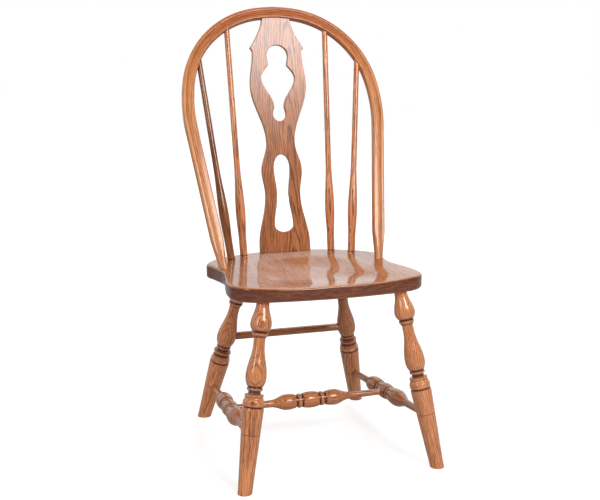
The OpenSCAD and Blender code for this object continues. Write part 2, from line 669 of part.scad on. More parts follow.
// A leg's half profile as [distance down the leg, radius], all of it stouter below the neck. One
// flange or more stand between the collar and the ball.
function leg_profile(urn_s, ring_s, vase_s, collar_s, flanges, groove_s, mark_s, length, stout) =
    let (neck = leg_neck_r + stout / 2,
         vase = vase_r + stout,
         collar = ring_r + stout / 2,
         flange = flange_r + stout,
         ball = ball_r + stout,
         thick = taper_r + stout,
         slim = foot_r + stout,
         ring_end = ring_s + ring_w,
         collar_end = collar_s + groove_w + collar_w,
         ball_s = collar_end + flanges * (cove_w + flange_w),
         ball_middle = (ball_s + groove_s) / 2,
         taper_s = groove_s + 3 * groove_w,
         scribe_s = mark_s - mark_lift,
         at_line = thick + (slim - thick) * (scribe_s - taper_s) / (length - foot_pad - taper_s))
    concat(
        [[-leg_tenon_l, 0], [-leg_tenon_l, leg_top_r]],
        sway(4 * groove_w, leg_top_r, urn_s, urn_r),
        fall(urn_s + 1, urn_r, ring_s - groove_w / 2, ring_r - 0.6),
        [[ring_s, ring_r - 2]],
        bead(ring_s + groove_w / 2, ring_end, ring_r - 1.6, ring_r),
        [[ring_end + groove_w / 2, cove_r + 0.6], [ring_end + step_w, cove_r]],
        [[ring_end + step_w + groove_w / 2, neck]],
        sway(ring_end + 5 * step_w, neck, vase_s, vase, 14),
        fall(vase_s + 1, vase, collar_s - groove_w / 2, collar - 0.6),
        [[collar_s, collar - 2]],
        bead(collar_s + groove_w, collar_end, collar - 1.6, collar),
        [for (k = [0:flanges - 1])
            each flanged_cove(collar_end + k * (cove_w + flange_w), deep_cove_r + stout, flange)],
        [[ball_s + groove_w / 2, flange - 2]],
        sway(ball_s + groove_w, flange - 0.8, ball_middle, ball),
        fall(ball_middle + 1, ball, groove_s - groove_w, ball - 1.2, 5),
        [[groove_s, ball - 2.6], [groove_s + groove_w, thick - 0.8], [taper_s, thick]],
        [[scribe_s - groove_w / 2, at_line], [scribe_s, at_line - mark_depth]],
        [[scribe_s + groove_w / 2, at_line]],
        [[length - foot_pad, slim], [length + foot_pad, slim], [length + foot_pad, 0]]);
module turned(profile) { rotate_extrude() polygon(swapped(profile)); }
module floor_cut() {
    reach = 2 * seat_front_w;
    translate([-reach, -reach, -seat_t]) cube([2 * reach, 2 * reach, seat_t]);
}
module front_leg(side) {
    color(oak) in_frame() difference() {
        along(front_top(side), front_foot(side))
            turned(leg_profile(front_urn_s, front_ring_s, front_vase_s, front_collar_s, 1,
                               front_groove_s, front_mark_s, front_leg_l, 0));
        stretcher_socket(rear_mark(side), front_mark(side), front_grip, stretcher_end_r);
        floor_cut();
    }
}
module rear_leg(side) {
    color(oak) in_frame() difference() {
        along(rear_top(side), rear_foot(side))
            turned(leg_profile(rear_urn_s, rear_ring_s, rear_vase_s, rear_collar_s, 2,
                               rear_groove_s, rear_mark_s, rear_leg_l, rear_stout));
        stretcher_socket(front_mark(side), rear_mark(side), rear_grip, stretcher_end_r);
        stretcher_socket(rear_belly(-side), rear_belly(side), belly_grip, rear_stretcher_r);
        floor_cut();
    }
}

// Stretchers

// How far short of each leg's or barrel's axis the tenons end
front_grip = taper_r - stretcher_tenon_l;
rear_grip = taper_r + rear_stout - stretcher_tenon_l;
belly_grip = vase_r + rear_stout - stretcher_tenon_l;
barrel_grip = barrel_r - barrel_tenon_l;
// The hole at b for a tenon that comes from a and ends grip short of b
module stretcher_socket(a, b, grip, r) {
    socket(b - unit(b - a) * grip, b, r, 0, 3 * taper_r);
}
// Half of a bobbin-turned stretcher as [distance from the barrel's middle, radius]
function bobbin_half(bulb_l, bulb_r, end) =
    let (ring_start = barrel_half + step_w,
         ring_end = ring_start + 1.2 * ring_w,
         bulb_s = ring_end + 1.5 * step_w,
         bulb_top = bulb_s + 0.34 * bulb_l)
    concat(
        fall(0, barrel_r, barrel_half, barrel_r - 2.8, 8),
        [[barrel_half + groove_w / 2, cove_r - 0.2], [ring_start - groove_w / 2, cove_r - 0.2]],
        bead(ring_start, ring_end, bobbin_ring_r - 1.6, bobbin_ring_r),
        [[ring_end + groove_w / 2, cove_r - 0.2], [bulb_s - groove_w / 2, cove_r - 0.2]],
        rise(bulb_s, bulb_r - 2.8, bulb_top, bulb_r, 7),
        sway(bulb_top + 1, bulb_r, bulb_s + bulb_l, bobbin_neck_r, 14),
        [[end - 2 * stretcher_tenon_l, stretcher_end_r], [end, stretcher_end_r]]);
function bobbin(bulb_l, bulb_r, back, ahead) = concat(
    [[-back, 0]],
    backwards(negated(bobbin_half(bulb_l, bulb_r, back))),
    [for (p = bobbin_half(bulb_l, bulb_r, ahead)) if (p[0] > 0) p],
    [[ahead, 0]]);
module side_stretcher(side) {
    a = front_mark(side);
    b = rear_mark(side);
    middle = barrel_point(side);
    color(oak) in_frame() difference() {
        along(middle, b)
            turned(bobbin(side_bulb_l, side_bulb_r,
                          norm(middle - a) - front_grip, norm(b - middle) - rear_grip));
        stretcher_socket(barrel_point(-side), middle, barrel_grip, stretcher_end_r);
    }
}
module centre_stretcher() {
    a = barrel_point(left);
    b = barrel_point(right);
    half_l = norm(b - a) / 2 - barrel_grip;
    color(oak) in_frame() along((a + b) / 2, b) turned(bobbin(centre_bulb_l, centre_bulb_r, half_l, half_l));
}
module rear_stretcher() {
    a = rear_belly(left);
    b = rear_belly(right);
    color(oak_dark) in_frame() along(a + unit(b - a) * belly_grip, b)
        cylinder(r = rear_stretcher_r, h = norm(b - a) - 2 * belly_grip);
}

seat_board(1);  // seat_board_1
seat_board(2);  // seat_board_2
seat_board(3);  // seat_board_3
seat_board(4);  // seat_board_4
seat_board(5);  // seat_board_5
bow();
splat();
spindle(outer_foot(left), outer_tip(left));  // spindle_left_outer
spindle(inner_foot(left), inner_tip(left));  // spindle_left_inner
spindle(inner_foot(right), inner_tip(right));  // spindle_right_inner
spindle(outer_foot(right), outer_tip(right));  // spindle_right_outer
front_leg(left);  // leg_front_left
front_leg(right);  // leg_front_right
rear_leg(left);  // leg_rear_left
rear_leg(right);  // leg_rear_right
side_stretcher(left);  // side_stretcher_left
side_stretcher(right);  // side_stretcher_right
centre_stretcher();
rear_stretcher();
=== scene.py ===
from math import cos, pi, radians, sin, sqrt

import bmesh
import bpy
from bpy.props import FloatProperty, FloatVectorProperty, IntProperty, PointerProperty
from mathutils import Matrix, Vector


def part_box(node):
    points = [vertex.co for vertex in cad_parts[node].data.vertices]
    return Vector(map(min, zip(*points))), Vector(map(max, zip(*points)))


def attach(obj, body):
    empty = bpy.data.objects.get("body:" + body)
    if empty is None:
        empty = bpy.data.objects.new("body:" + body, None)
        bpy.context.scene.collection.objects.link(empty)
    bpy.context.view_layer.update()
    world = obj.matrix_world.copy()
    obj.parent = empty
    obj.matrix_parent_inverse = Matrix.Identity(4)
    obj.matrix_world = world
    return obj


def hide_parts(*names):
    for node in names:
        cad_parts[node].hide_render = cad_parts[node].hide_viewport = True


bl_info = {
    "name": "Fiddle back chair",
    "version": (1, 0, 0),
    "blender": (4, 5, 0),
    "location": "View3D > Sidebar > Chair",
    "description": "Dresses the frame of a fiddle back chair in oak and sets it in a plain studio",
    "category": "Object",
}

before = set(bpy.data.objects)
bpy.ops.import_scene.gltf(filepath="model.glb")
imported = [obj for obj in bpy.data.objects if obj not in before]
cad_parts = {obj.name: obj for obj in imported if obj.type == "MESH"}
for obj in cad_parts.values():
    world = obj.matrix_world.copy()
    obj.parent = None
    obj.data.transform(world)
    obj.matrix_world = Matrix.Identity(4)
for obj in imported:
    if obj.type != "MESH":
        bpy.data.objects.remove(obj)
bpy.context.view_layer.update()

# The source measures from the middle of the back's circle, and the frame from under the middle of
# the chair. The middle board's back tells how far apart the two are.
REAR_REACH = 0.232
FRAME_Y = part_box("seat_board_3")[1][1] - REAR_REACH


# Sizes and colours

def length_setting(name, description, metres):
    return FloatProperty(name=name, description=description, default=metres, unit="LENGTH")


def angle_setting(name, description, degrees):
    return FloatProperty(name=name, description=description, default=radians(degrees),
                         unit="ROTATION")


def colour_setting(name, description, colour):
    return FloatVectorProperty(name=name, description=description, default=colour, subtype="COLOR",
                               size=3, min=0, max=1)


class ChairSeat(bpy.types.PropertyGroup):
    """Sizes of the saddled seat"""
    height: length_setting("Height", "Floor to the seat's deck", 0.450)
    thickness: length_setting("Thickness", "Thickness of the seat", 0.035)
    lobe: length_setting("Lobe", "Half of the greatest width, at the bow's feet", 0.234)
    waist: length_setting("Waist", "Half of the width behind the sitter's legs", 0.2155)
    front: length_setting("Front", "Half of the front width", 0.234)
    front_reach: length_setting("Front reach", "Back circle's middle to the front edge", 0.228)
    top_round: length_setting("Top rounding", "Radius of the upper edge", 0.006)
    low_round: length_setting("Lower rounding", "Radius of the lower edge", 0.007)
    dish: length_setting("Dish", "Depth of the saddle", 0.012)
    dish_lip: length_setting("Dish at the lip", "Depth of the saddle at the front edge", 0.004)
    dish_back: length_setting("Dish at the back", "Reach of the dish at the back", 0.148)
    dish_front: length_setting("Dish at the front", "Reach of the dish at the front", 0.205)
    dish_slope: length_setting("Slope", "Width of the dish's sloping side", 0.112)
    pommel: length_setting("Pommel", "Height of the rise between the thighs", 0.0015)
    pommel_width: length_setting("Pommel width", "Half width of that rise", 0.070)
    boards: IntProperty(name="Boards", description="Edge-glued boards across the seat", default=5,
                        min=1)


class ChairBow(bpy.types.PropertyGroup):
    """Sizes of the bent bow"""
    lean: angle_setting("Lean", "How far the bow's plane leans back", 20.9)
    circle: length_setting("Back circle", "Radius on which the back stands on the seat", 0.209)
    foot_angle: angle_setting("Foot angle", "Place of the bow's foot on that circle", 78.8)
    width: length_setting("Width", "Width of the section, seen from the front", 0.0305)
    depth: length_setting("Depth", "Depth of the section", 0.020)
    crown: length_setting("Crown radius", "Radius of the top arc", 0.341)
    haunch: length_setting("Haunch radius", "Radius below the shoulders", 0.407)
    leg: length_setting("Straight leg", "Length of each straight leg", 0.359)
    leg_angle: angle_setting("Leg angle", "How far each leg leans outwards", 7.3)
    foot: length_setting("Foot radius", "Radius of the round foot", 0.0108)
    taper: length_setting("Taper", "Length over which the leg rounds off to its foot", 0.080)
    tenon: length_setting("Tenon", "Depth of the foot in the seat", 0.022)
    bead: length_setting("Bead", "Width of the bead along the outer edge", 0.010)
    groove: length_setting("Groove", "Depth of the groove inside the bead", 0.0018)


class ChairOak(bpy.types.PropertyGroup):
    """Colours and ring width of the oak"""
    light: colour_setting("Light wood", "Colour between the grain lines", (0.580, 0.215, 0.072))
    dark: colour_setting("Dark grain", "Colour of the grain lines", (0.205, 0.056, 0.018))
    # Besides the staining, this colour paints shade into coves and grooves and where pieces meet
    stain_and_shade: colour_setting("Stain", "Colour of the stain left in grooves and joints",
                          (0.105, 0.020, 0.010))
    # This colour also paints highlights on beads and crests and along the seat's top edge
    worn_and_highlight: colour_setting("Worn edge", "Colour of edges where the stain is rubbed thin",
                         (0.760, 0.350, 0.140))
    ring: length_setting("Ring width", "Width of a growth ring", 0.0042)


class ChairStudio(bpy.types.PropertyGroup):
    """The plain studio and its camera"""
    lens: FloatProperty(name="Lens", description="Focal length of the camera in millimetres",
                        default=54.642)
    azimuth: angle_setting("Azimuth", "Camera's turn around the chair", -17.3599)
    elevation: angle_setting("Elevation", "Camera's height angle", 10.1779)
    roll: angle_setting("Roll", "Camera's roll", -0.3213)
    distance: length_setting("Distance", "Camera to its target", 2.31149)
    target_height: length_setting("Target height", "Height that the camera looks at", 0.478387)
    floor: colour_setting("Floor", "Colour of the floor", (0.50, 0.50, 0.50))


class ChairSettings(bpy.types.PropertyGroup):
    """All of the chair's settings"""
    seat: PointerProperty(type=ChairSeat)
    bow: PointerProperty(type=ChairBow)
    oak: PointerProperty(type=ChairOak)
    studio: PointerProperty(type=ChairStudio)


# Curves and places, in metres, measured as in the source

def ease(t):
    """A soft step from 0 to 1."""
    t = min(max(t, 0.0), 1.0)
    return t * t * (3 - 2 * t)


def closed_curve(points, steps):
    """A smooth closed line through the points."""
    line, n = [], len(points)
    for i in range(n):
        a, b, c, d = (Vector(points[(i + k) % n]) for k in (-1, 0, 1, 2))
        for j in range(steps):
            t = j / steps
            line.append((2 * b + (c - a) * t + (2 * a - 5 * b + 4 * c - d) * t * t
                         + (3 * b - a - 3 * c + d) * t ** 3) / 2)
    return line


def in_frame(x, y, z):
    """A place of the source as a place in the frame."""
    return Vector((x, y + FRAME_Y, z))


def mirrored(point, side):
    """The point itself where side is 1, and its mirror image where side is -1."""
    return Vector((point[0] * side, point[1], point[2]))


# The middle lines of the right legs, downwards, and of the right spindles and the splat, upwards
LEGS = {"front": (in_frame(0.166, -0.188, 0.415), in_frame(0.234, -0.264, 0)),
        "rear": (in_frame(0.129, 0.135, 0.415), in_frame(0.2215, 0.244, 0))}
SPINDLES = {"outer": (in_frame(0.16334, 0.13039, 0.450), in_frame(0.21692, 0.23717, 0.97179)),
            "inner": (in_frame(0.12048, 0.17078, 0.450), in_frame(0.13439, 0.26615, 1.04768))}
SPLAT_FOOT, SPLAT_HEAD = in_frame(0, 0.19711, 0.450), in_frame(0, 0.27810, 1.07898)

# How far down the legs the side stretchers and the rear stretcher stand
FRONT_MARK, REAR_MARK, REAR_VASE = 0.301, 0.341, 0.190
# Where the centre stretcher meets a side stretcher, as a share of that one's length from the front
BARREL = 0.495


def on_leg(place, side, distance):
    """The point of a leg's middle line at a distance below its top."""
    top, foot = (mirrored(end, side) for end in LEGS[place])
    return top + (foot - top).normalized() * distance


def place_object(name, data):
    """Puts an object with this data into the scene."""
    thing = bpy.data.objects.new(name, data)
    bpy.context.scene.collection.objects.link(thing)
    return thing


# Node trees

def put(tree, kind, sockets=None, **settings):
    """Adds a node, with its settings, and its inputs as values or links."""
    node = tree.nodes.new(kind)
    for name, value in settings.items():
        setattr(node, name, value)
    for key, value in (sockets or {}).items():
        if isinstance(value, bpy.types.NodeSocket):
            tree.links.new(value, node.inputs[key])
        else:
            node.inputs[key].default_value = value
    return node


def add_sockets(tree, way, *sockets):
    """Gives a node group its inputs or outputs, each by name and kind."""
    for name, kind in sockets:
        tree.interface.new_socket(name, in_out=way, socket_type="NodeSocket" + kind)


def calc(tree, operation, *values, clamp=False):
    """The result of one sum in a node tree."""
    node = put(tree, "ShaderNodeMath", dict(enumerate(values)), operation=operation,
               use_clamp=clamp)
    return node.outputs[0]


def weighed(tree, a, a_weight, b, b_weight):
    """Two values added, each times its weight."""
    return calc(tree, "ADD", calc(tree, "MULTIPLY", a, a_weight),
                calc(tree, "MULTIPLY", b, b_weight))


def vector_calc(tree, operation, *values):
    """The result of one sum with vectors, which is a number for a length or a dot product."""
    node = put(tree, "ShaderNodeVectorMath", dict(enumerate(values)), operation=operation)
    return node.outputs["Value" if operation in ("LENGTH", "DOT_PRODUCT") else "Vector"]


def join(tree, *values):
    """A vector from its x, y and z. Those left out are 0."""
    return put(tree, "ShaderNodeCombineXYZ", dict(enumerate(values))).outputs[0]


def parts(tree, vector):
    """The x, y and z of a vector."""
    return put(tree, "ShaderNodeSeparateXYZ", {0: vector}).outputs


def object_place(tree):
    return put(tree, "ShaderNodeTexCoord").outputs["Object"]


def true_normal(tree):
    return put(tree, "ShaderNodeNewGeometry").outputs["True Normal"]


def stored(tree, name, output="Vector"):
    """A value that is stored by name on the mesh, for a material."""
    node = put(tree, "ShaderNodeAttribute", attribute_name=name, attribute_type="GEOMETRY")
    return node.outputs[output]


def span(tree, value, low, high, to_low=0.0, to_high=1.0, soft=True):
    """Maps low...high to to_low...to_high, clamped."""
    node = put(tree, "ShaderNodeMapRange", {"Value": value, "From Min": low, "From Max": high,
                                            "To Min": to_low, "To Max": to_high},
               interpolation_type="SMOOTHSTEP" if soft else "LINEAR")
    return node.outputs[0]


def tint(tree, value, low, high, *channels):
    """A colour whose channels each run between two numbers as value runs from low to high."""
    return put(tree, "ShaderNodeCombineColor", {
        i: span(tree, value, low, high, start, stop, False)
        for i, (start, stop) in enumerate(channels)}).outputs[0]


def blend_colour(tree, share, a, b, way="MIX"):
    """Colour a where share is 0, and where it is 1 colour b or what the way makes of both."""
    node = put(tree, "ShaderNodeMix", data_type="RGBA", blend_type=way)
    for socket, value in ((node.inputs[0], share), (node.inputs[6], a), (node.inputs[7], b)):
        if isinstance(value, bpy.types.NodeSocket):
            tree.links.new(value, socket)
        else:
            socket.default_value = value
    return node.outputs[2]


def noise(tree, place, scales, detail=2.0, rough=0.5):
    """Noise as a number and as a colour. Its cells are 1/scale metres along each axis."""
    stretched = vector_calc(tree, "MULTIPLY", place, scales)
    return put(tree, "ShaderNodeTexNoise", {"Vector": stretched, "Scale": 1.0, "Detail": detail,
                                            "Roughness": rough}).outputs


def rgba(colour):
    return (colour[0], colour[1], colour[2], 1.0)


# Oak

def oak_grain_tree(oak):
    """A block of oak. Its grain runs along Z, and the tree's pith is the Z axis."""
    tree = bpy.data.node_groups.new("oak_grain", "ShaderNodeTree")
    add_sockets(tree, "INPUT", ("Place", "Vector"), ("Light", "Color"), ("Dark", "Color"),
                ("Figure", "Float"), ("Pores", "Float"), ("Slope", "Float"))
    add_sockets(tree, "OUTPUT", ("Colour", "Color"), ("Roughness", "Float"), ("Height", "Float"))
    given = put(tree, "NodeGroupInput").outputs
    place = given["Place"]

    # Growth rings, bent a little and frayed along the grain
    centred = vector_calc(tree, "SUBTRACT", noise(tree, place, (7.0, 7.0, 1.6))[1], (0.5, 0.5, 0.5))
    bend = vector_calc(tree, "MULTIPLY", centred, (0.035, 0.035, 0.0))
    axes = parts(tree, vector_calc(tree, "ADD", place, bend))
    deep = calc(tree, "ADD", axes[1], calc(tree, "MULTIPLY", given["Slope"], axes[2]))
    radius = calc(tree, "SQRT", calc(tree, "ADD", calc(tree, "MULTIPLY", axes[0], axes[0]),
                                     calc(tree, "MULTIPLY", deep, deep)))
    fray = noise(tree, place, (160.0, 160.0, 14.0))[0]
    count = calc(tree, "ADD", calc(tree, "DIVIDE", radius, oak.ring),
                 calc(tree, "MULTIPLY", fray, 0.9))
    part = calc(tree, "FRACT", count)
    ring = calc(tree, "MULTIPLY", span(tree, part, 0.50, 0.84), span(tree, part, 1.0, 0.90))

    # Fine streaks, stronger in some patches, and pores, most of them in the dark part of a ring
    streak = span(tree, noise(tree, place, (520.0, 520.0, 17.0), 3.0, 0.62)[0], 0.36, 0.64)
    patch = span(tree, noise(tree, place, (55.0, 55.0, 6.0), 1.0)[0], 0.35, 0.62, 0.4, 1.0)
    streak = calc(tree, "MULTIPLY", streak, patch)
    pore = span(tree, noise(tree, place, (760.0, 760.0, 36.0), 1.0)[0], 0.53, 0.63)
    pore = calc(tree, "MULTIPLY", pore, span(tree, ring, 0.0, 1.0, 0.35, 1.0, False))

    lines = weighed(tree, ring, 0.48, streak, 0.64)
    lines = calc(tree, "MULTIPLY", lines, given["Figure"], clamp=True)
    wood = blend_colour(tree, lines, given["Light"], given["Dark"])
    wood = blend_colour(tree, calc(tree, "MULTIPLY", pore, given["Pores"], clamp=True), wood,
                        rgba([c * 0.45 for c in oak.dark]))
    tone = noise(tree, place, (26.0, 26.0, 3.0))[0]
    wood = blend_colour(tree, 1.0, wood, tint(tree, tone, 0.25, 0.75, (0.86, 1.12), (0.82, 1.14),
                                              (0.78, 1.18)), "MULTIPLY")
    rough = calc(tree, "ADD", weighed(tree, lines, 0.10, pore, 0.12), 0.30)
    height = weighed(tree, pore, -0.8, lines, -0.06)
    put(tree, "NodeGroupOutput", {"Colour": wood, "Roughness": rough, "Height": height})
    return tree


def line_ramp(tree, share, lines, length):
    """The strength of the lines across a piece that is length long, and 0 between them."""
    ramp = put(tree, "ShaderNodeValToRGB", {0: share})
    ramp.color_ramp.interpolation = "LINEAR"
    stops = [(0.0, 0.0)]
    for s, half, strength in sorted(lines):
        for at, value in ((s - half, 0.0), (s, strength), (s + half, 0.0)):
            stops.append((min(max(at / length, stops[-1][0] + 1e-5), 1.0), value))
    marks = ramp.color_ramp.elements
    while len(marks) > 1:
        marks.remove(marks[-1])
    marks[0].position, marks[0].color = 0.0, (0.0, 0.0, 0.0, 1.0)
    for at, value in stops[1:]:
        marks.new(at).color = (value, value, value, 1.0)
    return calc(tree, "MINIMUM", ramp.outputs[0], 1.0)


def oak_finish(name, oak, start, end, pith, turn=0.0, tone=1.0, figure=0.62, pores=0.6, bands=(),
               crests=(), grain=None, extra=None, gloss=0.09, coat=0.85, haze=0.0, sway=0.0,
               slope=0.0):
    """A lacquered oak material whose grain runs from start to end.

    pith is where the tree's middle lies beside the piece, and turn turns the wood around its
    length. Where grain is given, it names stored places in the wood that are used instead of start
    and turn. The colours are multiplied by tone, and then haze is added, half of it to the grain
    lines. figure and pores are the strength of those lines and of the pores, sway bends the grain
    sideways, and slope is how steeply the rings run out of the piece. bands are the dark lines of
    staining and painted shade in coves and where pieces meet, and crests the painted highlights on
    the beads: (distance from start, half width, strength). extra may change the colour last. gloss
    is how rough the lacquer is, and coat how much of it there is."""
    material = bpy.data.materials.new(name)
    material.use_nodes = True
    tree = material.node_tree
    shader = tree.nodes["Principled BSDF"]
    way = end - start
    along = Vector((0, 0, 1)).rotation_difference(way).to_matrix() @ Matrix.Rotation(turn, 3, "Z")
    if grain:
        place = stored(tree, grain)
    else:
        place = put(tree, "ShaderNodeMapping", {
            "Vector": object_place(tree), "Location": start,
            "Rotation": along.to_euler()}, vector_type="TEXTURE").outputs[0]
    wood_place = vector_calc(tree, "ADD", place, pith)
    if sway:
        wander = calc(tree, "SUBTRACT", noise(tree, place, (8.0, 8.0, 5.5), 1.0)[0], 0.5)
        aside = join(tree, calc(tree, "MULTIPLY", wander, sway))
        wood_place = vector_calc(tree, "ADD", wood_place, aside)
    group = put(tree, "ShaderNodeGroup", {
        "Place": wood_place, "Light": rgba([c * tone + haze for c in oak.light]),
        "Dark": rgba([c * tone + haze / 2 for c in oak.dark]),
        "Figure": figure, "Pores": pores,
        "Slope": slope}, node_tree=bpy.data.node_groups["oak_grain"])
    colour = group.outputs["Colour"]
    # Painted shade, with staining, darkens the coves and the places where pieces meet, and painted
    # highlights lighten the crests of the beads
    if bands or crests:
        share = calc(tree, "DIVIDE", parts(tree, place)[2], way.length)
        for lines, paint in ((crests, oak.worn_and_highlight), (bands, oak.stain_and_shade)):
            if lines:
                marks = line_ramp(tree, share, lines, way.length)
                colour = blend_colour(tree, marks, colour, rgba(paint))
    if extra:
        colour = extra(tree, colour)
    tree.links.new(colour, shader.inputs["Base Color"])
    tree.links.new(group.outputs["Roughness"], shader.inputs["Roughness"])
    bump = put(tree, "ShaderNodeBump", {"Height": group.outputs["Height"], "Strength": 0.35,
                                        "Distance": 0.0004})
    tree.links.new(bump.outputs[0], shader.inputs["Normal"])
    shader.inputs["Specular IOR Level"].default_value = 0.08
    shader.inputs["Coat Weight"].default_value = coat
    shader.inputs["Coat Roughness"].default_value = gloss
    shader.inputs["Coat IOR"].default_value = 1.6
    return material


def declare(piece, nodes):
    """Hides the frame's nodes that a finished piece stands for. It rides on the chair's only body.
    """
    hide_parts(*nodes)
    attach(piece, "root")


def dress(node, material):
    """Gives a node of the frame its material."""
    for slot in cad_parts[node].material_slots:
        slot.material = material


# Seat

def seat_outline(s):
    """The seat's outline, from the middle of its back once around."""
    rear, front = REAR_REACH, -s.front_reach
    half = [(0.36 * s.lobe, 0.955 * rear), (0.66 * s.lobe, 0.83 * rear),
            (0.893 * s.lobe, 0.655 * rear), (s.lobe, 0.45 * rear),
            ((s.lobe + s.waist) / 2 + 0.001, 0.26 * rear), (s.waist, -0.01 * rear),
            ((s.waist + s.front) / 2 - 0.001, 0.25 * front), (s.front, 0.52 * front),
            (0.98 * s.front, 0.746 * front), (0.816 * s.front, 0.904 * front),
            (0.457 * s.front, 0.974 * front)]
    knots = [(0, rear)] + half + [(0, front)] + [(-x, y) for x, y in reversed(half)]
    return closed_curve(knots, 16)


def deck_height(s, p):
    """Height of the dished deck at a point of the seat."""
    forward = p[1] / -s.front_reach
    reach = sqrt(p[0] ** 2 + p[1] ** 2) if p[1] > 0 else abs(p[0])
    edge = s.dish_back + (s.dish_front - s.dish_back) * ease(forward)
    pommel = s.pommel * ease(1 - abs(p[0]) / s.pommel_width) * ease(forward)
    depth = s.dish + (s.dish_lip - s.dish) * ease((forward - 0.4) / 0.6)
    return s.height - max(0.0, depth * ease((edge - reach) / s.dish_slope) - pommel)


def seat_rings(s):
    """The lines around the seat, from below over its edge to the deck's middle, and how pale each
    is painted: a highlight and rubbed staining along the top edge.
    """
    line = seat_outline(s)
    n = len(line)
    outward = []
    for i in range(n):
        v = line[(i + 1) % n] - line[i - 1]
        outward.append(Vector((-v[1], v[0])).normalized())

    def inset(d):
        return [line[i] - d * outward[i] for i in range(n)]

    under = s.height - s.thickness
    low_steps, top_steps, deck_steps = 8, 10, 64
    rings, wear_and_highlight = [], []
    for k in range(low_steps + 1):
        a = pi / 2 * k / low_steps
        rings.append([(p[0], p[1], under + s.low_round * (1 - cos(a)))
                      for p in inset(s.low_round * (1 - sin(a)))])
        wear_and_highlight.append(0.0)
    for share in (0.25, 0.5, 0.75):
        rings.append([(p[0], p[1], (1 - share) * (under + s.low_round)
                       + share * (deck_height(s, p) - s.top_round)) for p in line])
        wear_and_highlight.append(0.0)
    for k in range(top_steps + 1):
        a = pi / 2 * k / top_steps
        rings.append([(p[0], p[1], deck_height(s, p) - s.top_round * (1 - sin(a)))
                      for p in inset(s.top_round * (1 - cos(a)))])
        wear_and_highlight.append(sin(a) ** 2)
    inner = inset(s.top_round)
    for k in range(1, deck_steps):
        f = 1 - k / deck_steps
        rings.append([(f * p[0], f * p[1], deck_height(s, f * p)) for p in inner])
        wear_and_highlight.append(max(0.0, 1 - k / 3))
    return rings, wear_and_highlight


def seat_shape(s):
    """The seat's points and faces, and how pale each point is painted along the top edge, as
    highlight and rubbed staining.
    """
    rings, wear_and_highlight = seat_rings(s)
    n = len(rings[0])
    points = [p for ring in rings for p in ring]
    points += [(0, 0, s.height - s.thickness), (0, 0, deck_height(s, (0, 0)))]
    low, top = n * len(rings), n * len(rings) + 1
    last = n * (len(rings) - 1)
    faces = []
    for k in range(0, last, n):
        for i in range(n):
            j = (i + 1) % n
            faces.append((k + j, k + i, k + n + i, k + n + j))
    for i in range(n):
        j = (i + 1) % n
        faces += [(low, i, j), (top, last + j, last + i)]
    points = [in_frame(*p) for p in points]
    return points, faces, [w for w in wear_and_highlight for _ in range(n)] + [0.0, 0.0]


def board_place(tree, s):
    """How far across the seat a point lies, counted in boards."""
    x = parts(tree, object_place(tree))[0]
    return calc(tree, "DIVIDE", calc(tree, "ADD", x, s.lobe), 2 * s.lobe / s.boards)


def spread_boards(material, s, slope):
    """Cuts each board from another place in the tree. Only the middle one keeps the whole slope."""
    # How far along the tree each board lies from the last, how far it may lie higher or lower, the
    # turn that says how much of that it does, and the share by which the others' slope is less
    apart, swing, turn, flatness = 1.37, 0.02, 2.1, 0.4
    tree = material.node_tree
    group = next(n for n in tree.nodes if n.type == "GROUP")
    place = group.inputs["Place"].links[0].from_socket
    number = calc(tree, "FLOOR", board_place(tree, s))
    middle = calc(tree, "COMPARE", number, s.boards // 2, 0.5)
    flatter = calc(tree, "MULTIPLY", calc(tree, "SUBTRACT", 1.0, middle), flatness)
    level = calc(tree, "MULTIPLY", calc(tree, "MULTIPLY", parts(tree, place)[2], flatter), -slope)
    shift = calc(tree, "MULTIPLY", number, apart)
    depth = calc(tree, "SINE", calc(tree, "MULTIPLY", number, turn))
    depth = calc(tree, "MULTIPLY", depth, swing)
    depth = calc(tree, "ADD", depth, calc(tree, "MULTIPLY", shift, -slope))
    jump = join(tree, calc(tree, "MULTIPLY", number, -2 * s.lobe / s.boards),
                calc(tree, "ADD", depth, level), shift)
    tree.links.new(vector_calc(tree, "ADD", place, jump), group.inputs["Place"])


def seat_finish(s, oak):
    """The oak of the seat, with its boards, their thin joints, a dark rim and pale edges, which are
    painted highlight and rubbed staining.
    """

    def boards_and_rim(tree, colour):
        coords = object_place(tree)
        place = board_place(tree, s)
        number = calc(tree, "FLOOR", place)
        shade = put(tree, "ShaderNodeTexWhiteNoise", {"W": calc(tree, "ADD", number, 3.5)},
                    noise_dimensions="1D").outputs[0]
        colour = blend_colour(tree, 1.0, colour, tint(tree, shade, 0, 1, (0.90, 1.06), (0.86, 1.08),
                                                      (0.82, 1.10)), "MULTIPLY")
        joint = calc(tree, "ABSOLUTE", calc(tree, "SUBTRACT", calc(tree, "FRACT", place), 0.5))
        seam = span(tree, joint, 0.4945, 0.499, 0.0, 0.35)
        colour = blend_colour(tree, seam, colour, rgba(oak.dark))
        flat = calc(tree, "ABSOLUTE", parts(tree, true_normal(tree))[2])
        mottle = span(tree, noise(tree, coords, (45, 45, 260), 3.0)[0], 0.35, 0.65, 0.70, 0.97)
        rim = rgba([c * share for c, share in zip(oak.dark, (0.58, 0.36, 0.25))])
        upright = calc(tree, "MULTIPLY", span(tree, flat, 0.8, 0.25), mottle)
        colour = blend_colour(tree, upright, colour, rim)
        # A pale band along the top edge, patchy along it, painted as highlight and as staining
        # rubbed thin
        patchy = noise(tree, coords, (30, 30, 30))[0]
        rubbed = calc(tree, "MULTIPLY", stored(tree, "wear_and_highlight", "Fac"),
                      span(tree, patchy, 0.2, 0.8, 0.10, 0.35, False))
        return blend_colour(tree, rubbed, colour, rgba(oak.worn_and_highlight))

    slope = -0.18
    material = oak_finish("oak_seat", oak, in_frame(0, -s.front_reach, s.height),
                          in_frame(0, REAR_REACH, s.height), (0.028, 0.19, 0.0), figure=1.1,
                          pores=0.7, slope=slope, extra=boards_and_rim)
    spread_boards(material, s, slope)
    return material


